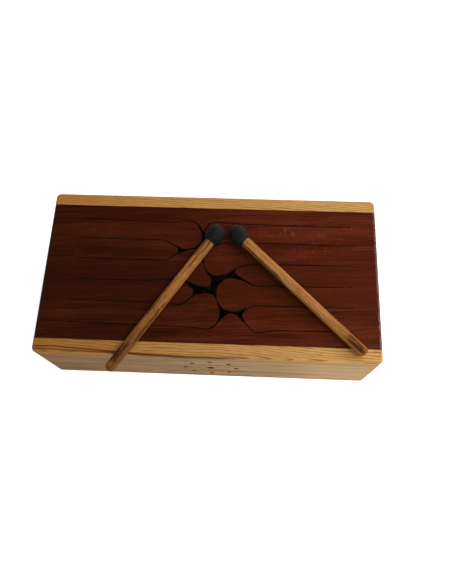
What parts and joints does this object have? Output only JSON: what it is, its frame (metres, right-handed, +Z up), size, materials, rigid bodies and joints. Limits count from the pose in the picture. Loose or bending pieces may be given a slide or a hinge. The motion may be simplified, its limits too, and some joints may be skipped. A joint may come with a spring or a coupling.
{
  "type": "wooden tongue drum",
  "caption": "Rectangular wooden tongue drum: a closed box with a sawn tongue top and vent holes in front, with rubber-headed mallets lying on it.",
  "frame": {"origin": "middle of the flat underside that the drum rests on", "axes": "+Z up, +X along the drum's length, -Y is the front with the vent holes"},
  "size_m": [0.46, 0.2607, 0.1484],
  "materials": {
    "red_hardwood": "gloss lacquer over dark red-brown padauk-like hardwood",
    "pale_hardwood": "gloss lacquer over honey-coloured straight-grained hardwood",
    "pale_panel": "bare pale wood",
    "dowel_wood": "gloss lacquer over streaked honey-brown dowel",
    "head_rubber": "matt dark rubber"
  },
  "bodies": {
    "drum": {"soundboard": "red_hardwood", "front_side_board": "pale_hardwood", "back_side_board": "pale_hardwood", "left_end_board": "red_hardwood", "right_end_board": "red_hardwood", "bottom_board": "pale_panel", "front_lining": "pale_panel", "back_lining": "pale_panel"},
    "left_tongue_1": {"left_tongue_1": "red_hardwood"},
    "left_tongue_2": {"left_tongue_2": "red_hardwood"},
    "left_tongue_3": {"left_tongue_3": "red_hardwood"},
    "left_tongue_4": {"left_tongue_4": "red_hardwood"},
    "left_tongue_5": {"left_tongue_5": "red_hardwood"},
    "right_tongue_1": {"right_tongue_1": "red_hardwood"},
    "right_tongue_2": {"right_tongue_2": "red_hardwood"},
    "right_tongue_3": {"right_tongue_3": "red_hardwood"},
    "right_tongue_4": {"right_tongue_4": "red_hardwood"},
    "right_tongue_5": {"right_tongue_5": "red_hardwood"},
    "left_mallet": {"left_mallet_stick": "dowel_wood", "left_mallet_head": "head_rubber"},
    "right_mallet": {"right_mallet_stick": "dowel_wood", "right_mallet_head": "head_rubber"}
  },
  "joints": [
    {"name": "left_tongue_1_bend", "type": "hinge", "parent": "drum", "child": "left_tongue_1", "pos_m": [-0.188, 0.0631, 0.11645], "axis": [0, 1, 0], "range_deg": [0, 0.3], "stiffness_Nm_per_rad": 60, "springref_deg": -0.11},
    {"name": "left_tongue_2_bend", "type": "hinge", "parent": "drum", "child": "left_tongue_2", "pos_m": [-0.188, 0.0327, 0.11645], "axis": [0, 1, 0], "range_deg": [0, 0.3], "stiffness_Nm_per_rad": 60, "springref_deg": -0.11},
    {"name": "left_tongue_3_bend", "type": "hinge", "parent": "drum", "child": "left_tongue_3", "pos_m": [-0.188, 0.0018, 0.11645], "axis": [0, 1, 0], "range_deg": [0, 0.3], "stiffness_Nm_per_rad": 60, "springref_deg": -0.11},
    {"name": "left_tongue_4_bend", "type": "hinge", "parent": "drum", "child": "left_tongue_4", "pos_m": [-0.188, -0.02905, 0.11645], "axis": [0, 1, 0], "range_deg": [0, 0.3], "stiffness_Nm_per_rad": 60, "springref_deg": -0.11},
    {"name": "left_tongue_5_bend", "type": "hinge", "parent": "drum", "child": "left_tongue_5", "pos_m": [-0.188, -0.06, 0.11645], "axis": [0, 1, 0], "range_deg": [0, 0.3], "stiffness_Nm_per_rad": 60, "springref_deg": -0.11},
    {"name": "right_tongue_1_bend", "type": "hinge", "parent": "drum", "child": "right_tongue_1", "pos_m": [0.193, 0.0605, 0.11645], "axis": [0, -1, 0], "range_deg": [0, 0.3], "stiffness_Nm_per_rad": 60, "springref_deg": -0.11},
    {"name": "right_tongue_2_bend", "type": "hinge", "parent": "drum", "child": "right_tongue_2", "pos_m": [0.193, 0.03125, 0.11645], "axis": [0, -1, 0], "range_deg": [0, 0.3], "stiffness_Nm_per_rad": 60, "springref_deg": -0.11},
    {"name": "right_tongue_3_bend", "type": "hinge", "parent": "drum", "child": "right_tongue_3", "pos_m": [0.193, 0.0005, 0.11645], "axis": [0, -1, 0], "range_deg": [0, 0.3], "stiffness_Nm_per_rad": 60, "springref_deg": -0.11},
    {"name": "right_tongue_4_bend", "type": "hinge", "parent": "drum", "child": "right_tongue_4", "pos_m": [0.193, -0.02975, 0.11645], "axis": [0, -1, 0], "range_deg": [0, 0.3], "stiffness_Nm_per_rad": 60, "springref_deg": -0.11},
    {"name": "right_tongue_5_bend", "type": "hinge", "parent": "drum", "child": "right_tongue_5", "pos_m": [0.193, -0.06075, 0.11645], "axis": [0, -1, 0], "range_deg": [0, 0.3], "stiffness_Nm_per_rad": 60, "springref_deg": -0.11},
    {"name": "left_mallet_lift", "type": "slide", "parent": "drum", "child": "left_mallet", "axis": [0, 0, 1], "range_m": [0, 0.15]},
    {"name": "right_mallet_lift", "type": "slide", "parent": "drum", "child": "right_mallet", "axis": [0, 0, 1], "range_m": [0, 0.15]}
  ]
}
